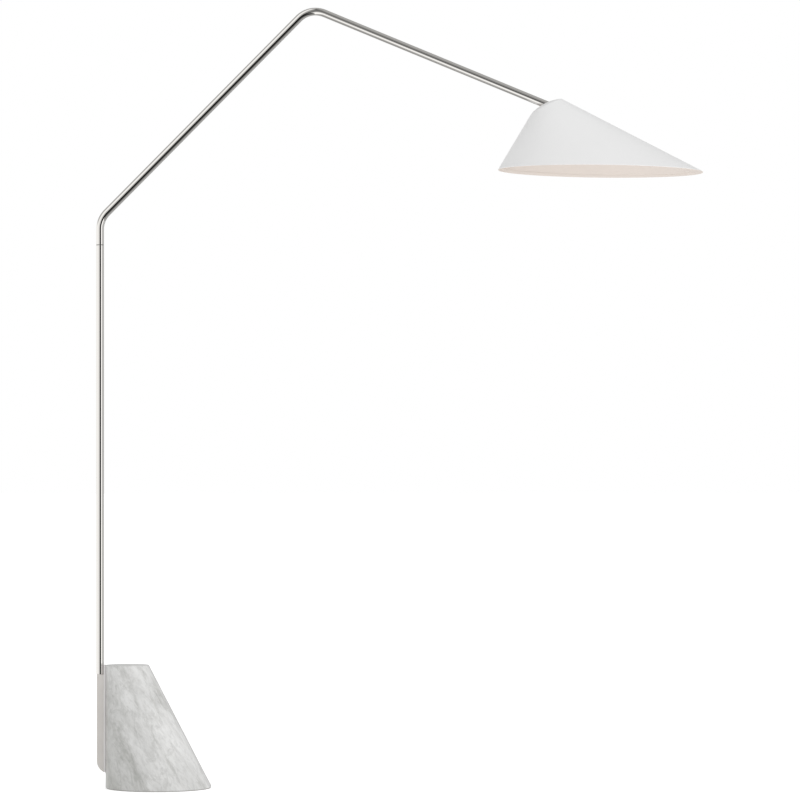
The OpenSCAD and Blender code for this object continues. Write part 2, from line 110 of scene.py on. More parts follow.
HOLDER_DIR = Vector((math.sin(HOLDER_LEAN), 0, -math.cos(HOLDER_LEAN)))
ARM_END_DIR = Vector((math.cos(DROP), 0, -math.sin(DROP)))


def frame_along(origin, direction, side=Y_AXIS):
    """A matrix whose local +Z is direction and whose local +Y is side."""
    z = direction.normalized()
    x = side.cross(z).normalized()
    y = z.cross(x)
    return Matrix.Translation(origin) @ Matrix((x, y, z)).transposed().to_4x4()


AT_HEAD = frame_along(PIVOT, HOLDER_DIR)

# Mesh helpers -----------------------------------------------------------------------------------


def make_object(name, verts, faces, smooth=SMOOTH):
    """A mesh object with its doubled points merged and its faces turned outwards."""
    mesh = bpy.data.meshes.new(name)
    mesh.from_pydata([tuple(v) for v in verts], [], faces)
    mesh.update()
    bm = bmesh.new()
    bm.from_mesh(mesh)
    bmesh.ops.remove_doubles(bm, verts=bm.verts, dist=1e-7)
    bmesh.ops.recalc_face_normals(bm, faces=bm.faces)
    bm.to_mesh(mesh)
    bm.free()
    finish_normals(mesh, smooth)
    obj = bpy.data.objects.new(name, mesh)
    bpy.context.scene.collection.objects.link(obj)
    return obj


def finish_normals(mesh, smooth=SMOOTH):
    """Shades the mesh smooth, apart from the edges that turn more than smooth degrees."""
    mesh.shade_smooth()
    mesh.set_sharp_from_angle(angle=math.radians(smooth))


def apply_modifiers(obj):
    """Turns the object's modifiers into its mesh."""
    graph = bpy.context.evaluated_depsgraph_get()
    mesh = bpy.data.meshes.new_from_object(obj.evaluated_get(graph))
    old = obj.data
    obj.modifiers.clear()
    obj.data = mesh
    bpy.data.meshes.remove(old)


def flatten_flats(obj):
    """Lets the large faces set the normals, so that flats stay flat right up to an eased edge."""
    mod = obj.modifiers.new("normals", "WEIGHTED_NORMAL")
    mod.keep_sharp = True
    apply_modifiers(obj)


def bezier(points, t):
    """The point at t on the curve of these control points."""
    while len(points) > 1:
        points = [a.lerp(b, t) for a, b in zip(points, points[1:])]
    return points[0]


def rounded(points, steps=4):
    """An outline of (a, b) or (a, b, radius) points, with an arc at each that has a radius."""
    out = []
    n = len(points)
    for i, p in enumerate(points):
        here = Vector(p[:2])
        radius = p[2] if len(p) > 2 else 0
        if not radius:
            out.append(here)
            continue
        back = Vector(points[i - 1][:2]) - here
        ahead = Vector(points[(i + 1) % n][:2]) - here
        half = back.angle(ahead) / 2
        cut = min(radius / math.tan(half), 0.49 * back.length, 0.49 * ahead.length)
        start = here + back.normalized() * cut
        end = here + ahead.normalized() * cut
        out += [bezier([start, here, end], k / steps) for k in range(steps + 1)]
    return out


def lathe(name, outline, place, segments=96, closed=False, smooth=SMOOTH):
    """Turns an outline of (radius, height) points about place's +Z. A closed one makes a ring."""
    verts, faces, rings = [], [], []
    for r, z in outline:
        if r < 1e-7:
            rings.append([len(verts)])
            verts.append(place @ Vector((0, 0, z)))
            continue
        rings.append(list(range(len(verts), len(verts) + segments)))
        for k in range(segments):
            a = 2 * math.pi * k / segments
            verts.append(place @ Vector((r * math.cos(a), r * math.sin(a), z)))
    pairs = list(zip(rings, rings[1:] + rings[:1])) if closed else list(zip(rings, rings[1:]))
    for low, high in pairs:
        for k in range(segments):
            n = (k + 1) % segments
            if len(low) == 1 and len(high) == 1:
                continue
            if len(low) == 1:
                faces.append((low[0], high[n], high[k]))
            elif len(high) == 1:
                faces.append((low[k], low[n], high[0]))
            else:
                faces.append((low[k], low[n], high[n], high[k]))
    return make_object(name, verts, faces, smooth)


def loft(name, rings, closed_rows=True, smooth=SMOOTH):
    """Joins equal rings of points into one skin. closed_rows joins the last ring to the first."""
    n = len(rings[0])
    verts = [p for ring in rings for p in ring]
    faces = []
    rows = len(rings) if closed_rows else len(rings) - 1
    for i in range(rows):
        j = (i + 1) % len(rings)
        for k in range(n):
            m = (k + 1) % n
            faces.append((i * n + k, i * n + m, j * n + m, j * n + k))
    if not closed_rows:
        faces.append(tuple(range(n - 1, -1, -1)))
        faces.append(tuple(range(len(verts) - n, len(verts))))
    return make_object(name, verts, faces, smooth)


def prism(name, outline, low_y, high_y, ease=0.0):
    """An (x, z) outline drawn out along Y, with eased edges."""
    rings = [[Vector((p[0], y, p[1])) for p in outline] for y in (low_y, high_y)]
    obj = loft(name, rings, closed_rows=False)
    if ease:
        ease_edges(obj, ease)
    return obj


def ease_edges(obj, width):
    """Rounds every edge that isn't part of a curve."""
    mod = obj.modifiers.new("ease", "BEVEL")
    mod.width = width
    mod.segments = 3
    mod.limit_method = "ANGLE"
    mod.angle_limit = math.radians(32)
    apply_modifiers(obj)
    finish_normals(obj.data)


def cut_with(obj, tools):
    """Takes the tools out of the object, and removes them."""
    for tool in tools:
        mod = obj.modifiers.new("cut", "BOOLEAN")
        mod.operation = "DIFFERENCE"
        mod.solver = "EXACT"
        mod.object = tool
    apply_modifiers(obj)
    finish_normals(obj.data)
    for tool in tools:
        mesh = tool.data
        bpy.data.objects.remove(tool)
        bpy.data.meshes.remove(mesh)


def cylinder_tool(radius, start, direction, length):
    """A cylinder to cut with, from start along direction."""
    place = frame_along(start, direction, Y_AXIS if abs(direction.y) < 0.9 else X_AXIS)
    return lathe("tool", [(0, 0), (radius, 0), (radius, length), (0, length)], place, 48)


def box_tool(low, high):
    """A box to cut with, between two corners."""
    outline = [(low[0], low[2]), (high[0], low[2]), (high[0], high[2]), (low[0], high[2])]
    return prism("tool", outline, low[1], high[1])


def join(name, objects):
    """Joins objects into one mesh."""
    bm = bmesh.new()
    for o in objects:
        bm.from_mesh(o.data)
    mesh = bpy.data.meshes.new(name)
    bm.to_mesh(mesh)
    bm.free()
    for o in objects:
        old = o.data
        bpy.data.objects.remove(o)
        bpy.data.meshes.remove(old)
    finish_normals(mesh)
    obj = bpy.data.objects.new(name, mesh)
    bpy.context.scene.collection.objects.link(obj)
    return obj


# Materials --------------------------------------------------------------------------------------


class Graph:
    """A node tree with short calls for its nodes."""

    def __init__(self, tree):
        self.nodes = tree.nodes
        self.links = tree.links

    def feed(self, socket, value):
        """Gives a socket a number, a colour or another node's output."""
        if isinstance(value, (int, float)):
            socket.default_value = value
        elif isinstance(value, tuple):
            socket.default_value = (*value, 1)
        else:
            self.links.new(value, socket)

    def ramp(self, value, stops, easing="LINEAR"):
        """The colour between (place, colour) stops, at places from 0 to 1."""
        node = self.nodes.new("ShaderNodeValToRGB")
        ramp = node.color_ramp
        ramp.interpolation = easing
        while len(ramp.elements) < len(stops):
            ramp.elements.new(0.5)
        for element, (at, colour) in zip(ramp.elements, stops):
            element.position = at
            element.color = (*colour, 1)
        self.links.new(value, node.inputs["Fac"])
        return node.outputs["Color"]

    def spread(self, value, low, high, from_low=0.3, from_high=0.7, easing="LINEAR"):
        """Brings a number from one range to another."""
        node = self.nodes.new("ShaderNodeMapRange")
        node.interpolation_type = easing
        ends = {"From Min": from_low, "From Max": from_high, "To Min": low, "To Max": high}
        for socket, number in ends.items():
            node.inputs[socket].default_value = number
        self.links.new(value, node.inputs["Value"])
        return node.outputs["Result"]

    def mix(self, factor, a, b, kind="MIX"):
        """A colour that far from a to b, or another kind of blend of the two."""
        node = self.nodes.new("ShaderNodeMix")
        node.data_type = "RGBA"
        node.blend_type = kind
        for socket, value in ((node.inputs[0], factor), (node.inputs[6], a), (node.inputs[7], b)):
            self.feed(socket, value)
        return node.outputs[2]


class Look(Graph):
    """A surface material whose textures lie in the object's own space."""

    def __init__(self, name, **sockets):
        self.mat = bpy.data.materials.new(name)
        self.mat.use_nodes = True
        super().__init__(self.mat.node_tree)
        self.shader = self.nodes["Principled BSDF"]
        for socket, value in sockets.items():
            self.shader.inputs[socket.replace("_", " ")].default_value = value
        self.place = self.nodes.new("ShaderNodeTexCoord").outputs["Object"]

    def mapped(self, scale=(1, 1, 1), turn=(0, 0, 0)):
        """The place, turned, and stretched by scale along each axis."""
        node = self.nodes.new("ShaderNodeMapping")
        node.vector_type = "TEXTURE"
        node.inputs["Rotation"].default_value = turn
        node.inputs["Scale"].default_value = scale
        self.links.new(self.place, node.inputs["Vector"])
        return node.outputs["Vector"]

    def noise(self, scale, detail=3.0, roughness=0.5, distortion=0.0, where=None):
        node = self.nodes.new("ShaderNodeTexNoise")
        node.inputs["Scale"].default_value = scale
        node.inputs["Detail"].default_value = detail
        node.inputs["Roughness"].default_value = roughness
        node.inputs["Distortion"].default_value = distortion
        self.links.new(where or self.place, node.inputs["Vector"])
        return node.outputs["Fac"]

    def along(self, axis, low, high, where):
        """0 to 1 between two places on one axis."""
        node = self.nodes.new("ShaderNodeSeparateXYZ")
        self.links.new(where, node.inputs[0])
        return self.spread(node.outputs[axis], 0, 1, low, high)

    def blend(self, a, b, factor):
        """A number that far from a to b."""
        node = self.nodes.new("ShaderNodeMix")
        for socket, value in ((node.inputs[0], factor), (node.inputs[2], a), (node.inputs[3], b)):
            self.feed(socket, value)
        return node.outputs[0]

    def bump(self, height, strength, distance):
        """Makes the surface rise and fall with a texture."""
        node = self.nodes.new("ShaderNodeBump")
        node.inputs["Strength"].default_value = strength
        node.inputs["Distance"].default_value = distance
        self.links.new(height, node.inputs["Height"])
        self.links.new(node.outputs["Normal"], self.shader.inputs["Normal"])

    def tint(self, cloud, a, b):
        """A base colour that drifts from a to b with the cloud."""
        self.set("Base Color", self.mix(self.spread(cloud, 0, 1), a, b))

    def set(self, socket, value):
        """Feeds one of the shader's sockets."""
        self.links.new(value, self.shader.inputs[socket])


def polished_nickel():
    """Bright warm plate: almost a mirror, with the faint haze of a buffed tube."""
    look = Look("polished_nickel", Base_Color=(0.83, 0.81, 0.79, 1), Metallic=1.0)
    haze = look.noise(60, 4, 0.6)
    look.set("Roughness", look.spread(haze, 0.03, 0.07))
    return look.mat


def satin_nickel(name, darker, lighter):
    """Plate over a long brushed grain, as on the bracket bar."""
    look = Look(name, Metallic=0.55)
    grain = look.noise(1400, 3, 0.7, where=look.mapped(scale=(1, 1, 18)))
    cloud = look.noise(30, 3)
    look.tint(cloud, darker, lighter)
    look.set("Roughness", look.spread(grain, 0.50, 0.62))
    look.bump(grain, 0.12, 0.05 * MM)
    return look.mat


def marble():
    """Pale grey stone with soft streaks and thin wisps that run down towards its wide side. It is
    olive and darker on one side of the streaks, at the foot of the straight side."""
    look = Look("honed_marble", Specular_IOR_Level=0.45)
    lean = (0, math.radians(-31), 0)
    across = look.along("X", -0.09, 0.10, look.mapped(turn=lean))
    broad = look.noise(11, 5, 0.6, 0.5, look.mapped((1, 1.3, 2.2), lean))
    streak = look.noise(30, 8, 0.66, 0.7, look.mapped((1, 1.5, 4.5), lean))
    drift = look.noise(16, 7, 0.62, 1.2, look.mapped((1, 1.5, 2.8), lean))
    fine = look.noise(150, 7, 0.72, 0.5, look.mapped((1, 1.4, 2.8), lean))
    tone = look.blend(across, look.spread(broad, 0, 1), 0.42)
    ground = look.ramp(tone, [(0.15, (0.48, 0.48, 0.465)), (0.42, (0.56, 0.56, 0.55)),
                              (0.57, (0.642, 0.642, 0.634)), (0.85, (0.775, 0.774, 0.768))])
    bands = look.ramp(streak, [(0.34, (0.76, 0.76, 0.745)), (0.50, (0.955, 0.955, 0.95)),
                               (0.66, (1, 1, 1))])
    wisps = look.ramp(drift, [(0.46, (1, 1, 1)), (0.50, (0.78, 0.78, 0.77)), (0.53, (1, 1, 1))])
    flecks = look.ramp(fine, [(0.34, (0.76, 0.76, 0.755)), (0.56, (1, 1, 1))])
    colour = look.mix(0.9, ground, bands, "MULTIPLY")
    colour = look.mix(0.6, colour, wisps, "MULTIPLY")
    look.set("Base Color", look.mix(0.7, colour, flecks, "MULTIPLY"))
    look.set("Roughness", look.spread(fine, 0.30, 0.44))
    look.bump(fine, 0.05, 0.1 * MM)
    return look.mat


def paint(name, colour, roughness):
    """Sprayed matt paint: a soft orange peel and barely uneven colour."""
    look = Look(name, Specular_IOR_Level=0.4)
    look.tint(look.noise(9, 3), colour, tuple(0.985 * c for c in colour))
    peel = look.noise(900, 2)
    look.set("Roughness", look.spread(peel, roughness - 0.04, roughness + 0.04))
    look.bump(peel, 0.08, 0.06 * MM)
    return look.mat


def rubber(name, colour, roughness=0.75):
    """Fine-grained rubber or plastic."""
    look = Look(name)
    grain = look.noise(1100, 3, 0.6)
    look.set("Base Color", look.mix(grain, colour, tuple(1.5 * c for c in colour)))
    look.set("Roughness", look.spread(grain, roughness - 0.08, roughness + 0.08))
    look.bump(grain, 0.25, 0.08 * MM)
    return look.mat


def metal(name, colour, roughness):
    """Turned or rolled metal with a fine grain."""
    look = Look(name, Metallic=1.0)
    grain = look.noise(500, 4, 0.6)
    look.tint(grain, colour, tuple(0.9 * c for c in colour))
    look.set("Roughness", look.spread(grain, roughness - 0.05, roughness + 0.07))
    look.bump(grain, 0.05, 0.05 * MM)
    return look.mat


def porcelain():
    look = Look("glazed_porcelain", Coat_Weight=0.6, Coat_Roughness=0.05)
    cloud = look.noise(40, 3)
    look.tint(cloud, (0.86, 0.85, 0.82), (0.82, 0.81, 0.78))
    look.set("Roughness", look.spread(cloud, 0.18, 0.26))
    return look.mat


def frosted_glass():
    """A bulb coated white inside, which shows nothing behind its glass."""
    look = Look("frosted_bulb", Coat_Weight=0.4, Coat_Roughness=0.12, IOR=1.45)
    cloud = look.noise(120, 2)
    look.tint(cloud, (0.93, 0.92, 0.89), (0.90, 0.89, 0.86))
    look.set("Roughness", look.spread(cloud, 0.22, 0.30))
    return look.mat


def dress(obj, *materials):
    """Gives the object these materials and no others."""
    obj.data.materials.clear()
    for m in materials:
        obj.data.materials.append(m)


NICKEL = polished_nickel()
SATIN = satin_nickel("satin_nickel", (0.775, 0.745, 0.715), (0.805, 0.775, 0.745))
# the plate's satin nickel is the bracket's made lighter: painted light on the strip of plate
# between bracket and stone
PLATE_SATIN_PAINTED_LIGHT = satin_nickel("plate_satin_nickel_painted_light", (0.87, 0.85, 0.85), (0.90, 0.88, 0.88))
MARBLE = marble()
SHADE_OUT = paint("shade_white", (0.845, 0.845, 0.845), 0.5)
# the shade's inside is the white paint made darker and warmer: the darkness is painted shade for
# the hollow of the shade
SHADE_IN_PAINTED_SHADE = paint("shade_warm_white_painted_shade", (0.675, 0.61, 0.56), 0.55)
RUBBER = rubber("foot_rubber", (0.30, 0.295, 0.285))
BLACK = rubber("black_plastic", (0.02, 0.02, 0.021), 0.45)
BRASS = metal("turned_brass", (0.72, 0.55, 0.26), 0.25)
STEEL = metal("plated_steel", (0.62, 0.61, 0.60), 0.28)
THREAD = metal("bulb_thread", (0.74, 0.73, 0.71), 0.22)
SLEEVE = rubber("lead_sleeve", (0.55, 0.53, 0.49), 0.5)
PORCELAIN = porcelain()
GLASS = frosted_glass()

# Pieces -----------------------------------------------------------------------------------------


def install(obj, body, slot, nodes, *materials):
    """Puts a piece in the frame, in the place of its CAD nodes. One that is dressed already comes
    without materials."""
    if materials:
        dress(obj, *materials)
    flatten_flats(obj)
    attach(obj, body)
    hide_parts(*nodes)


def build_marble():
    """A leaning cone: every level slice touches the same upright line, the straight side."""
    low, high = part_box("marble_base")
    plate_low, plate_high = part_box("mounting_plate")
    foot_r = (high.x - low.x) / 2
    around, ease_steps, slope_steps = 240, 4, 24

    def level(z, r, inset=0.0):
        """The slice of radius r at height z, drawn in by inset."""
        turns = [2 * math.pi * k / around for k in range(around)]
        return [Vector((low.x + r + (r - inset) * math.cos(a), (r - inset) * math.sin(a), z))
                for a in turns]

    def eased(face_z, inwards, r):
        """The rings of an eased edge, from the upright side to the level face."""
        turns = [math.pi / 2 * k / ease_steps for k in range(ease_steps + 1)]
        return [level(face_z + inwards * STONE_EASE * (1 - math.sin(a)), r,
                      STONE_EASE * (1 - math.cos(a)))
                for a in turns]

    band_top = low.z + STONE_BAND
    slope_h = high.z - STONE_EASE - band_top
    rings = eased(low.z, 1, foot_r)[::-1] + [level(band_top, foot_r)]
    for k in range(1, slope_steps + 1):
        t = k / slope_steps
        rings.append(level(band_top + t * slope_h, foot_r + t * (STONE_TOP_R - foot_r)))
    rings += eased(high.z, -1, STONE_TOP_R)[1:]
    stone = loft("marble_cone", rings, closed_rows=False)
    slack = 0.05 * MM
    slot = box_tool((low.x - PAST, plate_low.y - slack, plate_low.z - slack),
                    (plate_high.x, plate_high.y + slack, high.z + PAST))
    cut_with(stone, [slot])
    install(stone, "base", "marble", ["marble_base"], MARBLE)


def build_pad():
    """The thin round pad under the stone."""
    low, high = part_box("base_pad")
    r = (high.x - low.x) / 2
    outline = rounded([(0, low.z), (r, low.z, 0.6 * MM), (r, high.z, 0.3 * MM), (0, high.z)], 4)
    pad = lathe("foot_pad", outline, Matrix.Identity(4), 192)
    install(pad, "base", "foot_rubber", ["base_pad"], RUBBER)


def foot_outline(x_from, x_to, top, centre):
    """The side outline of a piece whose lower edge is part of the bracket's big corner arc."""
    steps = 18
    turn_from = math.acos((centre.x - x_from) / BRACKET_R)
    turn_to = math.acos((centre.x - x_to) / BRACKET_R)
    turns = [turn_from + (turn_to - turn_from) * k / steps for k in range(steps + 1)]
    arc = [(centre.x - BRACKET_R * math.cos(a), centre.z - BRACKET_R * math.sin(a)) for a in turns]
    return arc + [(x_to, top), (x_from, top)]


def build_bracket():
    """The bar with its big lower corner, screw holes and cord inlet."""
    low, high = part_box("pole_bracket")
    bush_low, bush_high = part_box("cord_bushing")
    outline = foot_outline(low.x, high.x, high.z, corner_centre())
    bar = prism("bracket_bar", outline, low.y, high.y, 0.5 * MM)
    before = low.x - PAST
    head_hole_r, head_hole_h = SCREW_HEAD_R + 0.2 * MM, 5 * MM
    inlet_r, inlet_h = INLET_R + 0.05 * MM, 6 * MM
    tools = [cylinder_tool(head_hole_r, Vector((before, y, z)), X_AXIS, PAST + head_hole_h)
             for z in SCREW_HEIGHTS for y in (-SCREW_Y, SCREW_Y)]
    inlet = Vector((before, 0, (bush_low.z + bush_high.z) / 2))
    tools.append(cylinder_tool(inlet_r, inlet, X_AXIS, PAST + inlet_h))
    cut_with(bar, tools)
    install(bar, "base", "satin_nickel", ["pole_bracket"], SATIN)


def corner_centre():
    """The centre of the corner arc that runs on from the bracket into the plate."""
    low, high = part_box("pole_bracket")
    x = low.x + BRACKET_R
    return Vector((x, 0, low.z + math.sqrt(BRACKET_R ** 2 - (x - high.x) ** 2)))


def build_plate():
    """The plate between bracket and stone, recessed beside the stone for a thin shadow line. Its
    lighter satin nickel is painted light.
    """
    low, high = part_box("mounting_plate")
    outline = foot_outline(low.x, high.x, high.z, corner_centre())
    plate = prism("back_plate", outline, low.y, high.y, 0.3 * MM)
    gap_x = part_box("marble_base")[0].x + 0.2 * MM
    gap_depth = 1.8 * MM
    gaps = [box_tool((gap_x, side - gap_depth, low.z - PAST),
                     (high.x + PAST, side + gap_depth, high.z + PAST))
            for side in (low.y, high.y)]
    cut_with(plate, gaps)
    install(plate, "base", "satin_nickel", ["mounting_plate"], PLATE_SATIN_PAINTED_LIGHT)


def build_screws():
    """Four socket-head screws, sunk in the bracket's rear face."""
    low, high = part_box("bracket_screws")
    length = high.x - low.x
    key_r, key_h = 2.0 * MM, 2.4 * MM
    outline = rounded([(0, key_h), (key_r, key_h), (key_r, 0, 0.3 * MM),
                       (SCREW_HEAD_R, 0, 0.6 * MM), (SCREW_HEAD_R, SCREW_HEAD_H, 0.2 * MM),
                       (SCREW_R, SCREW_HEAD_H), (SCREW_R, length), (0, length)], 3)
    screws = []
    for z in SCREW_HEIGHTS:
        for y in (-SCREW_Y, SCREW_Y):
            place = frame_along(Vector((low.x, y, z)), X_AXIS)
            screw = lathe("socket_screw", outline, place, 48)
            shape_socket(screw, place, key_r, key_h)
            screws.append(screw)
    install(join("bracket_screw_set", screws), "base", "steel_screws", ["bracket_screws"], STEEL)


def shape_socket(screw, place, key_r, key_h):
    """Draws the inner wall of a screw's round recess into a hexagon."""
    back = place.inverted()
    hair = 0.001 * key_r
    for v in screw.data.vertices:
        p = back @ v.co
        r = math.hypot(p.x, p.y)
        if hair < r <= key_r + hair and p.z < key_h + hair:
            from_flat = math.atan2(p.y, p.x) % (math.pi / 3) - math.pi / 6
            scale = math.cos(math.pi / 6) / math.cos(from_flat)
            v.co = place @ Vector((p.x * scale, p.y * scale, p.z))


def build_bushing():
    """The flanged bushing that the mains cord would enter by."""
    low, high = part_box("cord_bushing")
    place = frame_along(Vector((low.x, 0, (low.z + high.z) / 2)), X_AXIS)
    length = high.x - low.x
    flange_r, flange_h, bore = INLET_R + 1 * MM, 0.78 * MM, 3.6 * MM
    outline = rounded([(bore, 0, 0.3 * MM), (flange_r, 0, 0.35 * MM), (flange_r, flange_h),
                       (INLET_R, flange_h), (INLET_R, length), (bore, length)], 3)
    bush = lathe("inlet_bushing", outline, place, 64, closed=True)
    install(bush, "base", "black_plastic", ["cord_bushing"], BLACK)


def build_pole():
    """The upright tube from the bracket to the seam."""
    low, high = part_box("lower_pole")
    bore, edge = TUBE_R - TUBE_WALL, 0.45 * MM
    outline = rounded([(bore, low.z), (TUBE_R, low.z, edge),
                       (TUBE_R, high.z, edge), (bore, high.z)], 3)
    pole = lathe("pole_tube", outline, Matrix.Translation((SEAM.x, 0, 0)), 96, closed=True)
    install(pole, "base", "polished_nickel", ["lower_pole"], NICKEL)


def arm_line():
    """Points and directions along the arm's centreline, from the seam to the tube's end."""
    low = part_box("arm_tube")[0]
    elbow = Vector((SEAM.x, 0, SEAM.z + ELBOW_UP))
    rise = Vector((math.cos(RISE), 0, math.sin(RISE)))
    # the top corner is where the rising line from the elbow meets the falling line to the pivot
    reach = PIVOT - elbow
    run = (reach.z + reach.x * math.tan(DROP)) / (math.tan(RISE) + math.tan(DROP))
    top = elbow + rise * (run / math.cos(RISE))
    piece = 25 * MM                     # from ring to ring along a straight
    bend_piece = 1.5                    # and round a bend, in degrees
    last_pieces = 20
    line = [(Vector((SEAM.x, 0, low.z)), Z_AXIS)]

    def add_straight(end, direction, pieces):
        start = line[-1][0]
        line.extend((start.lerp(end, k / pieces), direction) for k in range(1, pieces + 1))

    for corner, before, after in ((elbow, Z_AXIS, rise), (top, rise, ARM_END_DIR)):
        turn = before.angle(after)
        start = corner - before * BEND_R * math.tan(turn / 2)
        inward = (after - before * before.dot(after)).normalized()
        centre = start + inward * BEND_R
        add_straight(start, before, max(2, round((start - line[-1][0]).length / piece)))
        steps = round(math.degrees(turn) / bend_piece)
        for k in range(1, steps + 1):
            a = turn * k / steps
            line.append((centre - inward * BEND_R * math.cos(a) + before * BEND_R * math.sin(a),
                         before * math.cos(a) + inward * math.sin(a)))
    add_straight(PIVOT - ARM_END_DIR * TUBE_END, ARM_END_DIR, last_pieces)
    return line


def build_arm():
    """The bent tube: rings along its centreline, out along the outside and back along the bore."""
    line = arm_line()
    around, ease = 72, 0.45 * MM
    bore = TUBE_R - TUBE_WALL

    def ring(point, direction, radius):
        up = Y_AXIS.cross(direction).normalized()
        turns = [2 * math.pi * k / around for k in range(around)]
        return [point + radius * (math.cos(a) * up + math.sin(a) * Y_AXIS) for a in turns]

    start, start_dir = line[0]
    end, end_dir = line[-1]
    third = 0.3 * ease
    rings = [ring(start, start_dir, bore), ring(start, start_dir, TUBE_R - ease),
             ring(start + start_dir * third, start_dir, TUBE_R - third),
             ring(start + start_dir * ease, start_dir, TUBE_R)]
    rings += [ring(p, d, TUBE_R) for p, d in line[1:-1]]
    rings += [ring(end - end_dir * ease, end_dir, TUBE_R), ring(end, end_dir, TUBE_R - ease),
              ring(end, end_dir, bore)]
    rings += [ring(p, d, bore) for p, d in reversed(line[1:-1])]
    arm = loft("arm_tube_bent", rings)
    install(arm, "arm", "polished_nickel", ["arm_tube"], NICKEL)


# The shade --------------------------------------------------------------------------------------

TIP = PIVOT + TIP_FROM_PIVOT
DOME_C = PIVOT + DOME_FROM_PIVOT
CONE_DIR = Vector((math.sin(CONE_LEAN), 0, -math.cos(CONE_LEAN)))
CONE_OUT = Vector((math.cos(CONE_LEAN), 0, math.sin(CONE_LEAN)))
ARM_UP = ARM_END_DIR.cross(Y_AXIS).normalized()


def generator(a):
    """Direction of the cone's straight line at angle a, and the normal that points inside."""
    out = math.cos(a) * CONE_OUT + math.sin(a) * Y_AXIS
    along = math.cos(CONE_HALF) * CONE_DIR + math.sin(CONE_HALF) * out
    inward = math.sin(CONE_HALF) * CONE_DIR - math.cos(CONE_HALF) * out
    return along, inward


def meet_dome(start, along, radius):
    """Where a line from outside first meets the dome's sphere."""
    back = start - DOME_C
    b = back.dot(along)
    c = back.dot(back) - radius ** 2
    return start + along * (-b - math.sqrt(b * b - c))


WELL_OUTSIDE = ARM_END_DIR * 0.2        # this far back along the arm, a line starts off the shade
SLOT_MIDDLE = meet_dome(PIVOT - WELL_OUTSIDE, ARM_END_DIR, DOME_R)


def rim_distance(start, along):
    """How far along a line the rim plane is."""
    normal = Vector((math.sin(RIM_FALL), 0, math.cos(RIM_FALL)))
    on_plane = PIVOT - Z_AXIS * RIM_DROP
    return (on_plane - start).dot(normal) / along.dot(normal)


def slot_edge(angle, radius):
    """The slot's edge on the sphere of that radius, at an angle round the arm."""
    cos_a, sin_a = math.cos(angle), math.sin(angle)
    flat = (SLOT_UP if cos_a > 0 else SLOT_DOWN) - SLOT_R
    reach = SLOT_R / abs(sin_a) if abs(sin_a) > 1e-9 else math.inf
    if abs(reach * cos_a) > flat:
        reach = flat * abs(cos_a) + math.sqrt(SLOT_R ** 2 - (flat * sin_a) ** 2)
    side = ARM_UP * (reach * cos_a) + Y_AXIS * (reach * sin_a)
    return meet_dome(PIVOT + side - WELL_OUTSIDE, ARM_END_DIR, radius)


def over_dome(a, b, radius, t):
    """A point of the sphere between a and b."""
    mixed = (a - DOME_C).lerp(b - DOME_C, t)
    return DOME_C + mixed.normalized() * radius


def shade_section(a):
    """One closed line round the shade's wall, from the slot over the outside and back inside."""
    along, inward = generator(a)
    corner = meet_dome(TIP, along, DOME_R)
    inner_start = TIP + inward * SHADE_WALL
    inner_corner = meet_dome(inner_start, along, DOME_R - SHADE_WALL)
    offset = corner - SLOT_MIDDLE
    angle = math.atan2(offset.dot(Y_AXIS), offset.dot(ARM_UP))
    outer_slot = slot_edge(angle, DOME_R)
    inner_slot = slot_edge(angle, DOME_R - SHADE_WALL)
    dome_steps, corner_steps, cone_steps, lip_steps, hem_steps = 12, 5, 26, 6, 5
    corner_cut = 2.4 * MM
    line = []

    def add_dome(first, last, radius, cut_end):
        """Dome points from first to last, short of last by cut_end."""
        span = (last - first).length
        stop = 1 - cut_end / span
        for k in range(dome_steps + 1):
            line.append(over_dome(first, last, radius, stop * k / dome_steps))

    def add_corner(before, at, after):
        line.extend(bezier([before, at, after], k / corner_steps) for k in range(1, corner_steps))

    # outside: slot, dome, eased corner, cone
    add_dome(outer_slot, corner, DOME_R, corner_cut)
    cone_start = corner + along * corner_cut
    add_corner(line[-1], corner, cone_start)
    rim_t = rim_distance(TIP, along)
    start_t = (cone_start - TIP).dot(along)
    lip_r = HEM_WALL / 2
    for k in range(cone_steps + 1):
        line.append(TIP + along * (start_t + (rim_t - lip_r - start_t) * k / cone_steps))
    # the rolled lip
    lip_middle = TIP + along * (rim_t - lip_r) + inward * lip_r
    for k in range(1, lip_steps):
        turn = math.pi * k / lip_steps
        line.append(lip_middle - inward * lip_r * math.cos(turn) + along * lip_r * math.sin(turn))
    # inside: hem, step, cone, corner, dome
    hem_end = rim_t - lip_r - HEM_H
    line.append(TIP + along * (rim_t - lip_r) + inward * HEM_WALL)
    for k in range(hem_steps + 1):
        t = k / hem_steps
        wall = HEM_WALL + (SHADE_WALL - HEM_WALL) * t * t * (3 - 2 * t)
        line.append(TIP + along * (hem_end - HEM_STEP * t) + inward * wall)
    inner_t = (inner_corner - inner_start).dot(along) + corner_cut
    cone_t = hem_end - HEM_STEP
    for k in range(1, cone_steps + 1):
        line.append(inner_start + along * (cone_t + (inner_t - cone_t) * k / cone_steps))
    before = line[-1]
    outside_count = len(line)
    add_dome(inner_slot, inner_corner, DOME_R - SHADE_WALL, corner_cut)
    dome_back = line[outside_count:]
    del line[outside_count:]
    add_corner(before, inner_corner, dome_back[-1])
    line.extend(reversed(dome_back))
    # the slot's own eased edge
    middle = (line[0] + line[-1]) / 2
    away = (line[0] - line[1]).normalized()
    line.append(middle + away * 0.25 * SHADE_WALL)
    return line


def build_shade():
    """The spun shade: sections of its wall, taken all round the cone's axis."""
    around = 288
    rings = [shade_section(2 * math.pi * k / around) for k in range(around)]
    shade = loft("spun_shade", rings, smooth=50)
    dress(shade, SHADE_OUT, SHADE_IN_PAINTED_SHADE)
    paint_inside(shade)
    install(shade, "head", "white_shade", ["shade"])


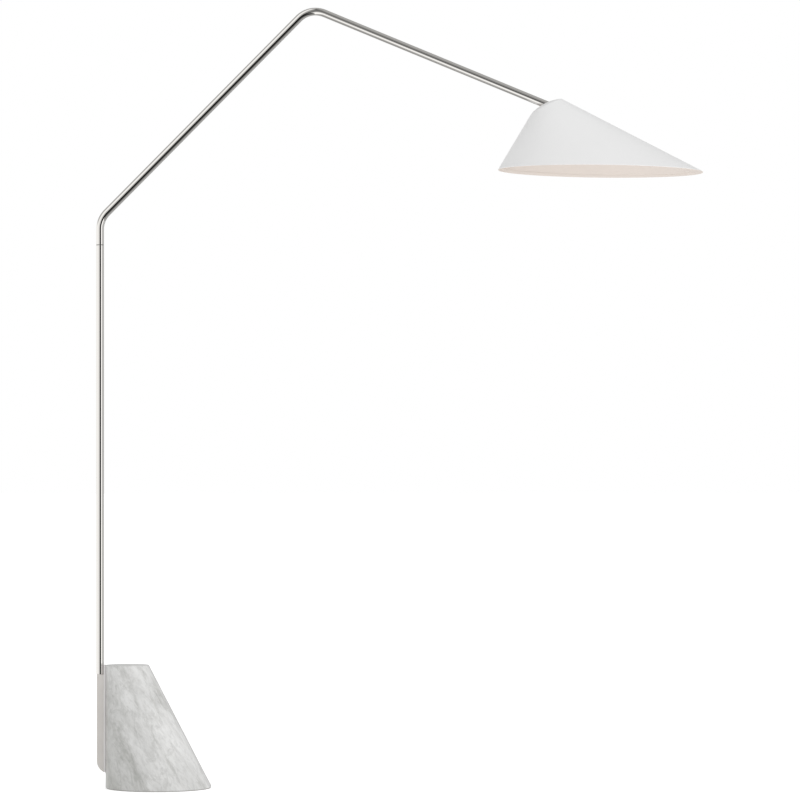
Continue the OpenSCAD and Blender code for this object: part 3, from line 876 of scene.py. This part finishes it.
def paint_inside(shade):
    """Gives the faces that look into the shade, and the underside of the rolled lip, the darker
    inside paint, which is painted shade.
    """
    dome_depth = 75 * MM                # the dome ends before this, down from the cone's tip
    outside = 0.3                       # cosine between an outside face and the way out
    for face in shade.data.polygons:
        centre = face.center
        from_tip = centre - TIP
        depth = from_tip.dot(CONE_DIR)
        out = (from_tip - CONE_DIR * depth).normalized()
        outward = math.cos(CONE_HALF) * out - math.sin(CONE_HALF) * CONE_DIR
        from_dome = (centre - DOME_C).length - DOME_R
        in_dome = -2 * SHADE_WALL < from_dome < MM and depth < dome_depth
        facing = (centre - DOME_C).normalized() if in_dome else outward
        # faces that turn away from the way out, the lip's underside among them, take the darker
        # inside paint: painted shade
        face.material_index = 0 if face.normal.dot(facing) > outside else 1


# The head's small pieces ------------------------------------------------------------------------


def local_span(node):
    """The lowest and highest place of a head node along the lampholder's axis."""
    back = AT_HEAD.inverted()
    zs = [(back @ v.co).z for v in frame["nodes"][node].data.vertices]
    return min(zs), max(zs)


def build_holder():
    """The lampholder: its cap, its porcelain body with three grooves, and the sleeve inside it."""
    low, high = local_span("lampholder_cap")
    wall, bore = 2 * MM, 5.05 * MM
    neck_r, skirt = HOLDER_R - 1 * MM, high - 3 * MM
    outline = rounded([(bore, low, 0.3 * MM), (neck_r, low, 7 * MM), (neck_r, skirt, 0.3 * MM),
                       (HOLDER_R, skirt, 0.8 * MM), (HOLDER_R, high, 0.5 * MM),
                       (HOLDER_R - wall, high), (neck_r - wall, low + wall, 5 * MM),
                       (bore, low + wall)], 5)
    cap = lathe("holder_cap", outline, AT_HEAD, 96, closed=True)
    stem_hole = cylinder_tool(KEY_STEM_R + 0.2 * MM, KNOB_AXIS, -Y_AXIS, 30 * MM)
    cut_with(cap, [stem_hole])
    install(cap, "head", "polished_nickel", ["lampholder_cap"], NICKEL)

    low, high = local_span("lampholder_body")
    r = HOLDER_R - 0.6 * MM
    groove_r = r - 0.7 * MM
    mouth, floor = 14.35 * MM, low + 4 * MM
    points = [(0, low), (r, low, 0.4 * MM)]
    for up in (7, 13, 19):
        z = low + up * MM
        points += [(r, z, 0.2 * MM), (groove_r, z + 0.4 * MM, 0.3 * MM),
                   (groove_r, z + 1.6 * MM, 0.3 * MM), (r, z + 2 * MM, 0.2 * MM)]
    points += [(r, high, 1.4 * MM), (mouth, high, 1.2 * MM), (mouth, floor), (0, floor)]
    body = lathe("holder_body", rounded(points, 4), AT_HEAD, 96)
    install(body, "head", "porcelain", ["lampholder_body"], PORCELAIN)

    low, high = local_span("thread_shell")
    shell = sleeve("screw_shell", 14.25 * MM, 13.65 * MM, low, high)
    install(shell, "head", "brass_fittings", ["thread_shell"], BRASS)


def around_head(line_at, segments=72):
    """Turns a line of (radius, height) points about the lampholder's axis. The line may change
    with the angle."""
    rings = []
    for k in range(segments):
        a = 2 * math.pi * k / segments
        rings.append([AT_HEAD @ Vector((r * math.cos(a), r * math.sin(a), z))
                      for r, z in line_at(a)])
    return rings


def sleeve(name, r_out, r_in, low, high):
    """A thin sleeve, closed at neither end."""
    steps = 40
    zs = [low + (high - low) * i / steps for i in range(steps + 1)]
    wall = [(r_out, z) for z in zs] + [(r_in, z) for z in reversed(zs)]
    return loft(name, around_head(lambda a: wall), smooth=60)


def build_bulb():
    """The frosted globe on its neck, and the threaded cap."""
    low, high = local_span("bulb_glass")
    globe_r, neck_r = 30 * MM, 13.9 * MM
    middle = high - globe_r
    # the shoulder is a curve that leaves the neck straight and joins the globe smoothly
    join_a = math.radians(-28)
    neck_end = Vector((neck_r, low + 8 * MM))
    join_at = Vector((globe_r * math.cos(join_a), middle + globe_r * math.sin(join_a)))
    join_dir = Vector((math.sin(join_a), -math.cos(join_a)))
    shoulder = [neck_end, neck_end + Vector((0, 11 * MM)), join_at + join_dir * 9 * MM, join_at]
    shoulder_steps, globe_steps = 18, 34
    outline = [Vector((0, low)), Vector((neck_r, low))]
    outline += [bezier(shoulder, k / shoulder_steps) for k in range(shoulder_steps + 1)]
    for k in range(1, globe_steps):
        a = join_a + (math.pi / 2 - join_a) * k / globe_steps
        outline.append(Vector((globe_r * math.cos(a), middle + globe_r * math.sin(a))))
    outline.append(Vector((0, high)))
    bulb = lathe("bulb_globe", outline, AT_HEAD, 96, smooth=60)
    install(bulb, "head", "frosted_glass", ["bulb_glass"], GLASS)

    low, high = local_span("bulb_cap")
    thread_low, thread_r, thread_h, steps = low + 4 * MM, 13.15 * MM, 0.8 * MM, 48
    closing = [(9 * MM, high - 0.2 * MM), (9 * MM, low + 1 * MM), (4 * MM, low),
               (6 * MM, low + 0.4 * MM)]

    def cap_line(a):
        """The thread, which fades in and out at its ends, and the closing line inside."""
        line = []
        for i in range(steps + 1):
            z = thread_low + (high - thread_low) * i / steps
            fade = min(1.0, 4 * min(i, steps - i) / steps)
            wave = 0.5 * (1 + math.cos(2 * math.pi * z / THREAD_PITCH - a))
            line.append((thread_r - thread_h * fade * wave, z))
        return line + closing

    cap = loft("bulb_screw_cap", around_head(cap_line), smooth=60)
    install(cap, "head", "bulb_metal", ["bulb_cap"], THREAD)


def build_knob():
    """A thumb key with pillowed flats, on a round collar."""
    low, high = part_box("switch_knob")
    place = frame_along(Vector((KNOB_AXIS.x, 0, KNOB_AXIS.z)), -Y_AXIS, HOLDER_DIR.cross(Y_AXIS))
    reach = -low.y
    collar_r, collar_z = 5 * MM, 19.6 * MM
    collar_end = collar_z + 5 * MM
    outline = rounded([(0, -high.y), (KEY_STEM_R, -high.y, 0.3 * MM), (KEY_STEM_R, collar_z),
                       (collar_r, collar_z, 0.6 * MM), (collar_r, collar_end, 1.2 * MM),
                       (0, collar_end)], 4)
    stem = lathe("key_stem", outline, place, 64)

    half_w, half_t, pillow = 7.4 * MM, 2.55 * MM, 2.2 * MM
    base_z = collar_z + 3.5 * MM
    foot_w, tip_w, widest = half_w - 1.6 * MM, half_w - 0.6 * MM, base_z + 6 * MM
    flat = rounded([(-foot_w, base_z, 1 * MM), (foot_w, base_z, 1 * MM),
                    (half_w, widest, 3 * MM), (tip_w, reach, 3.4 * MM),
                    (-tip_w, reach, 3.4 * MM), (-half_w, widest, 3 * MM)], 6)
    middle = Vector((0, (base_z + reach) / 2))
    steps = 8
    rings = []
    for k in range(-steps, steps + 1):
        t = k / steps
        inset = pillow * (1 - math.sqrt(1 - abs(t) ** 2.6))
        ring = []
        for p in flat:
            from_middle = p - middle
            q = middle + from_middle * max(0.0, 1 - inset / from_middle.length)
            ring.append(place @ Vector((q.x, t * half_t, q.y)))
        rings.append(ring)
    paddle = loft("key_paddle", rings, closed_rows=False, smooth=50)
    knob = join("thumb_key", [stem, paddle])
    install(knob, "knob", "black_plastic", ["switch_knob"], BLACK)


def dress_small_parts():
    """The CAD nodes whose shape is right as it is get their finish here."""
    looks = {
        BRASS: ("marble_inserts", "pole_nipple", "pole_end_insert", "swivel_spigot", "arm_sleeve",
                "holder_nipple", "nipple_locknut", "centre_contact"),
        NICKEL: ("arm_end_fork", "tilt_tongue"),
        SATIN: ("shade_bridge",),
        STEEL: ("guide_screw", "knuckle_screws"),
        BLACK: ("swivel_washer", "friction_washers", "switch_body"),
        SLEEVE: ("pole_lead", "arm_lead", "head_lead"),
    }
    for material, nodes in looks.items():
        for node in nodes:
            dress(frame["nodes"][node], material)


# Stage ------------------------------------------------------------------------------------------


def build_camera():
    """A level view from far off, at eye height, as plain product photographs are taken."""
    cam = bpy.data.cameras.new("camera")
    cam.sensor_width = 36
    cam.lens = 182.45
    cam.shift_y = 0.0568
    cam.clip_end = 200
    obj = bpy.data.objects.new("camera", cam)
    obj.location = (0.5896, -9.9, 0.836)
    obj.rotation_euler = (math.radians(90), 0, 0)
    bpy.context.scene.collection.objects.link(obj)
    bpy.context.scene.camera = obj


class Studio(Graph):
    """The world: white for the camera, even soft light, and a studio's walls for reflections."""

    def __init__(self):
        self.world = bpy.data.worlds.new("studio")
        self.world.use_nodes = True
        super().__init__(self.world.node_tree)
        self.nodes.remove(self.nodes["Background"])
        self.rays = self.nodes.new("ShaderNodeLightPath").outputs
        place = self.nodes.new("ShaderNodeTexCoord")
        split = self.nodes.new("ShaderNodeSeparateXYZ")
        self.links.new(place.outputs["Generated"], split.inputs[0])
        x, y, self.height = split.outputs
        bearing = self.math("ARCTAN2", x, self.math("MULTIPLY", y, -1.0))
        self.round = self.spread(bearing, 0, 1, -math.pi, math.pi)

    def math(self, operation, a, b):
        """A sum, a product or the like of two numbers."""
        node = self.nodes.new("ShaderNodeMath")
        node.operation = operation
        self.feed(node.inputs[0], a)
        self.feed(node.inputs[1], b)
        return node.outputs[0]

    def wall(self, stops):
        """How bright the wall is at each bearing in degrees, where 0 is behind the camera."""
        blue = 0.985                 # a little less than the red and green
        return self.ramp(self.round, [((bearing + 180) / 360, (value, value, value * blue))
                                      for bearing, value in stops], "EASE")

    def finish(self, colour):
        """Makes the colour the scene's world."""
        glow = self.nodes.new("ShaderNodeBackground")
        self.links.new(colour, glow.inputs["Color"])
        self.links.new(glow.outputs[0], self.nodes["World Output"].inputs["Surface"])
        bpy.context.scene.world = self.world


def build_world():
    """A pale room with a bright wall on the left, a tall window on the right and dark gaps."""
    studio = Studio()
    level = studio.wall([(-180, 0.95), (-90, 1.1), (-42, 1.0), (-18, 0.76), (-3, 0.42), (2, 0.0),
                         (34, 0.0), (39, 1.35), (60, 1.2), (70, 0.56), (125, 0.6), (142, 0.62),
                         (148, 0.05), (166, 0.05), (172, 0.9)])
    under = studio.wall([(-180, 0.45), (-110, 0.3), (-60, 0.45), (-36, 0.65), (-22, 1.2),
                         (-2, 1.15), (9, 0.2), (16, 0.03), (35, 0.05), (62, 0.28), (95, 0.45),
                         (180, 0.45)])
    over = studio.wall([(-180, 0.45), (-95, 0.47), (-62, 1.05), (-30, 1.15), (-15, 0.54), (0, 0.16),
                        (15, 0.28), (40, 0.46), (180, 0.45)])
    upwards = studio.spread(studio.height, 0, 1, 0.10, 0.40, "SMOOTHSTEP")
    downwards = studio.spread(studio.height, 0, 1, -0.30, -0.38, "SMOOTHSTEP")
    walls = studio.mix(downwards, studio.mix(upwards, level, over), under)
    seen = studio.mix(studio.rays["Is Glossy Ray"], (0.78, 0.78, 0.78), walls)
    studio.finish(studio.mix(studio.rays["Is Camera Ray"], seen, (1, 1, 1)))


def build_key_light():
    """One large soft light in front of the shade, which shows in no reflection."""
    light = bpy.data.lights.new("key", "AREA")
    light.shape = "RECTANGLE"
    light.size, light.size_y = 3, 4
    light.energy = 95
    obj = bpy.data.objects.new("key", light)
    obj.location = (5.2, -4.4, 3.6)
    aim = Vector((0.5, 0, 1.0)) - obj.location
    obj.rotation_euler = aim.to_track_quat("-Z", "Z").to_euler()
    bpy.context.scene.collection.objects.link(obj)
    obj.visible_camera = False
    obj.visible_glossy = False


def build_floor():
    """A wide pale floor that glows softly, so that it stays white in the picture."""
    half = 60
    corners = [(-half, -half, 0), (half, -half, 0), (half, half, 0), (-half, half, 0)]
    floor = make_object("floor", corners, [(0, 1, 2, 3)])
    look = Look("pale_floor", Base_Color=(0.92, 0.92, 0.92, 1), Roughness=0.9,
                Specular_IOR_Level=0.1, Emission_Color=(1, 1, 1, 1), Emission_Strength=0.45)
    dress(floor, look.mat)
    floor.visible_glossy = False


build_camera()
build_marble()
build_pad()
build_bracket()
build_plate()
build_screws()
build_bushing()
build_pole()
build_arm()
build_shade()
build_holder()
build_bulb()
build_knob()
dress_small_parts()
build_world()
build_floor()
build_key_light()
bpy.context.scene.view_settings.view_transform = "Standard"
